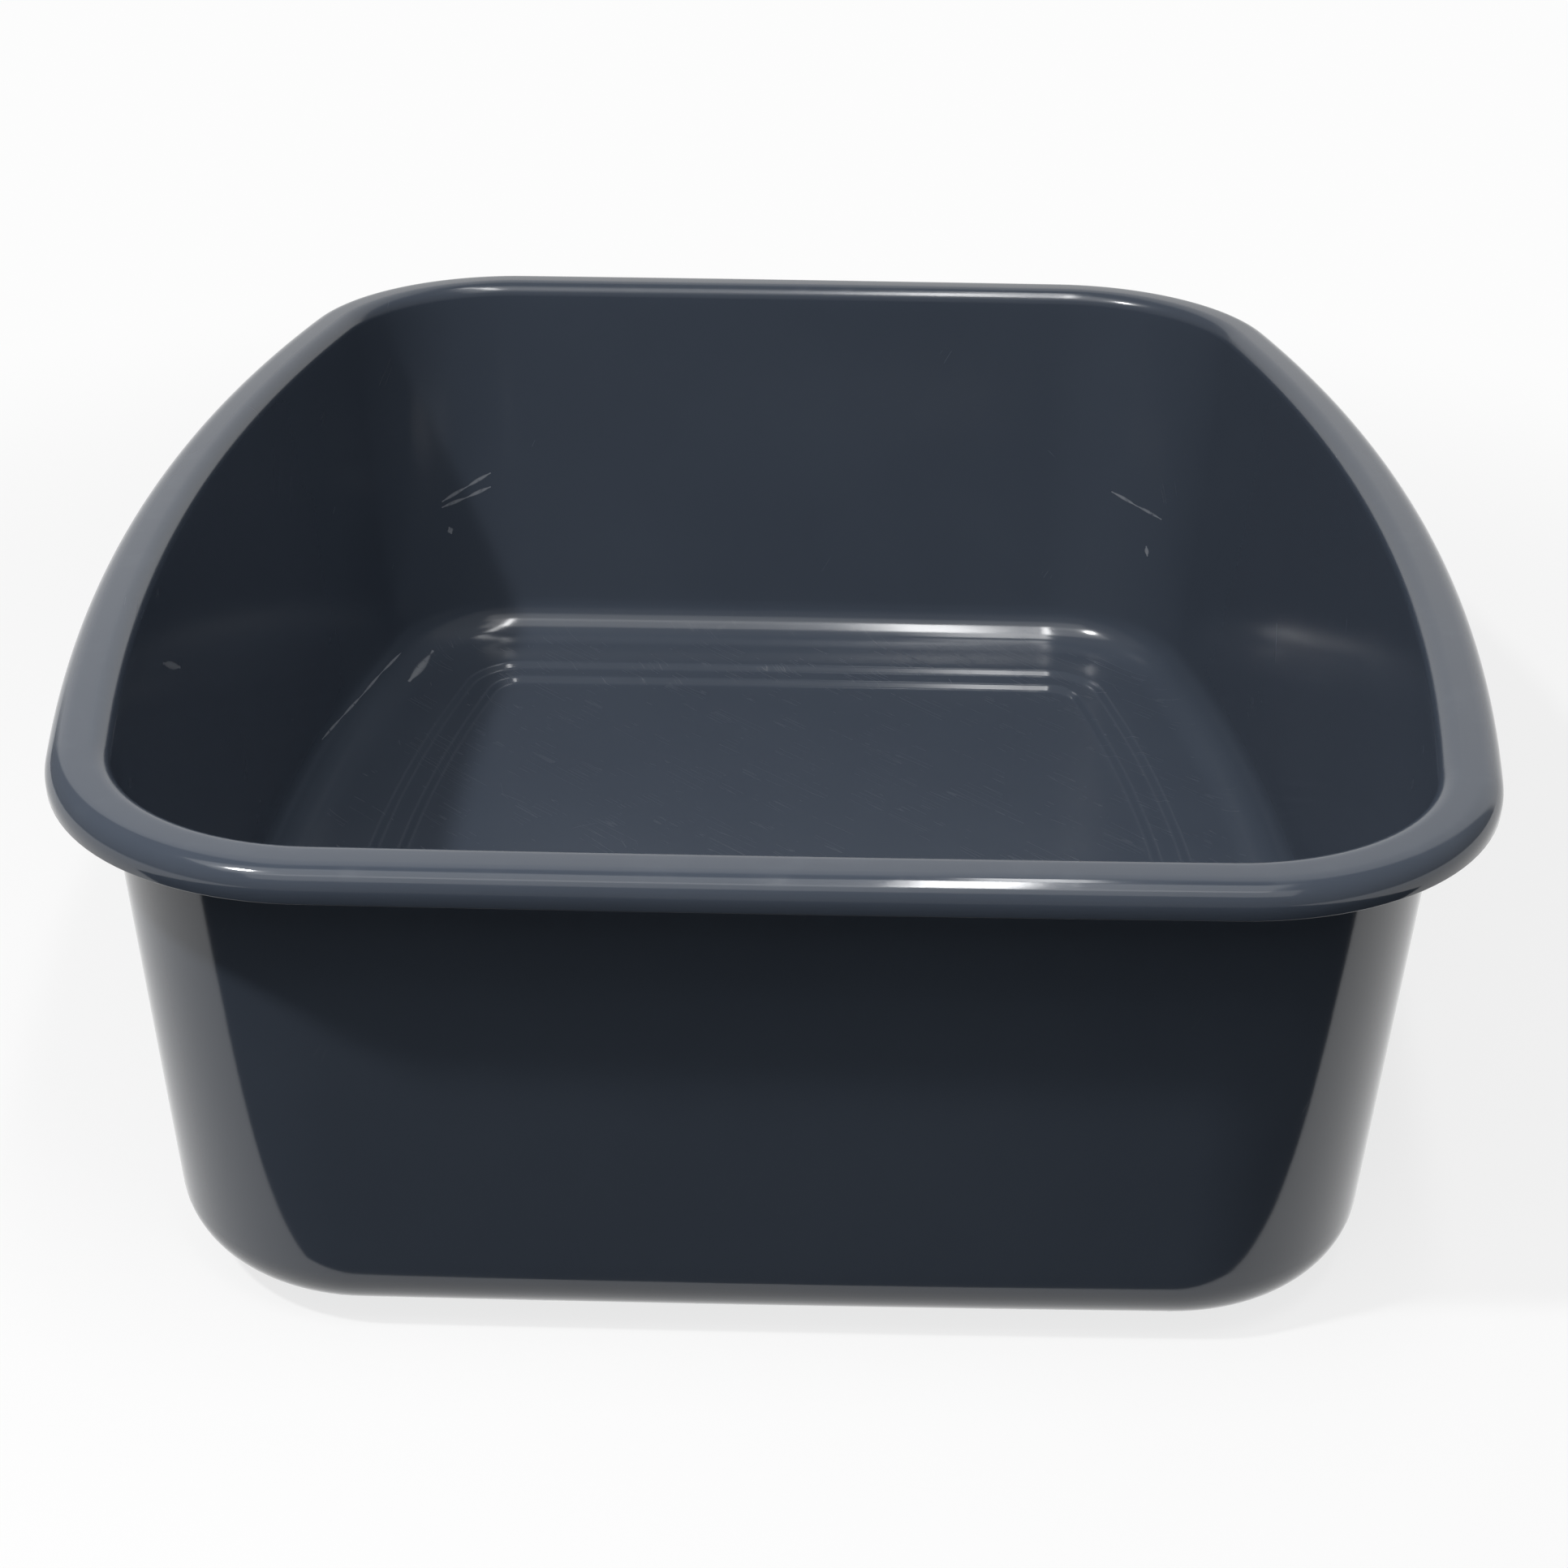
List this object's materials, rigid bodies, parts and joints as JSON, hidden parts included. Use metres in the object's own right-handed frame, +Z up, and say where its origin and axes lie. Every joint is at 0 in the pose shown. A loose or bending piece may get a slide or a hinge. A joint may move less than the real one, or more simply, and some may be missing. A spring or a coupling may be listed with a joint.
{
  "type": "washing up bowl",
  "caption": "Rectangular moulded plastic washing up bowl with bowed sides, rounded corners, a rolled rim to lift it by and a stepped flat floor.",
  "frame": {"origin": "middle of the bowl's footprint, on the surface it stands on", "axes": "+Z up out of the bowl's mouth, +Y along the bowl's length, +X across its width"},
  "size_m": [0.33, 0.39, 0.127],
  "materials": {
    "bowl_plastic": "glossy anthracite grey polypropylene with fine surface scratches"
  },
  "bodies": {
    "root": {"bowl": "bowl_plastic"}
  },
  "joints": []
}
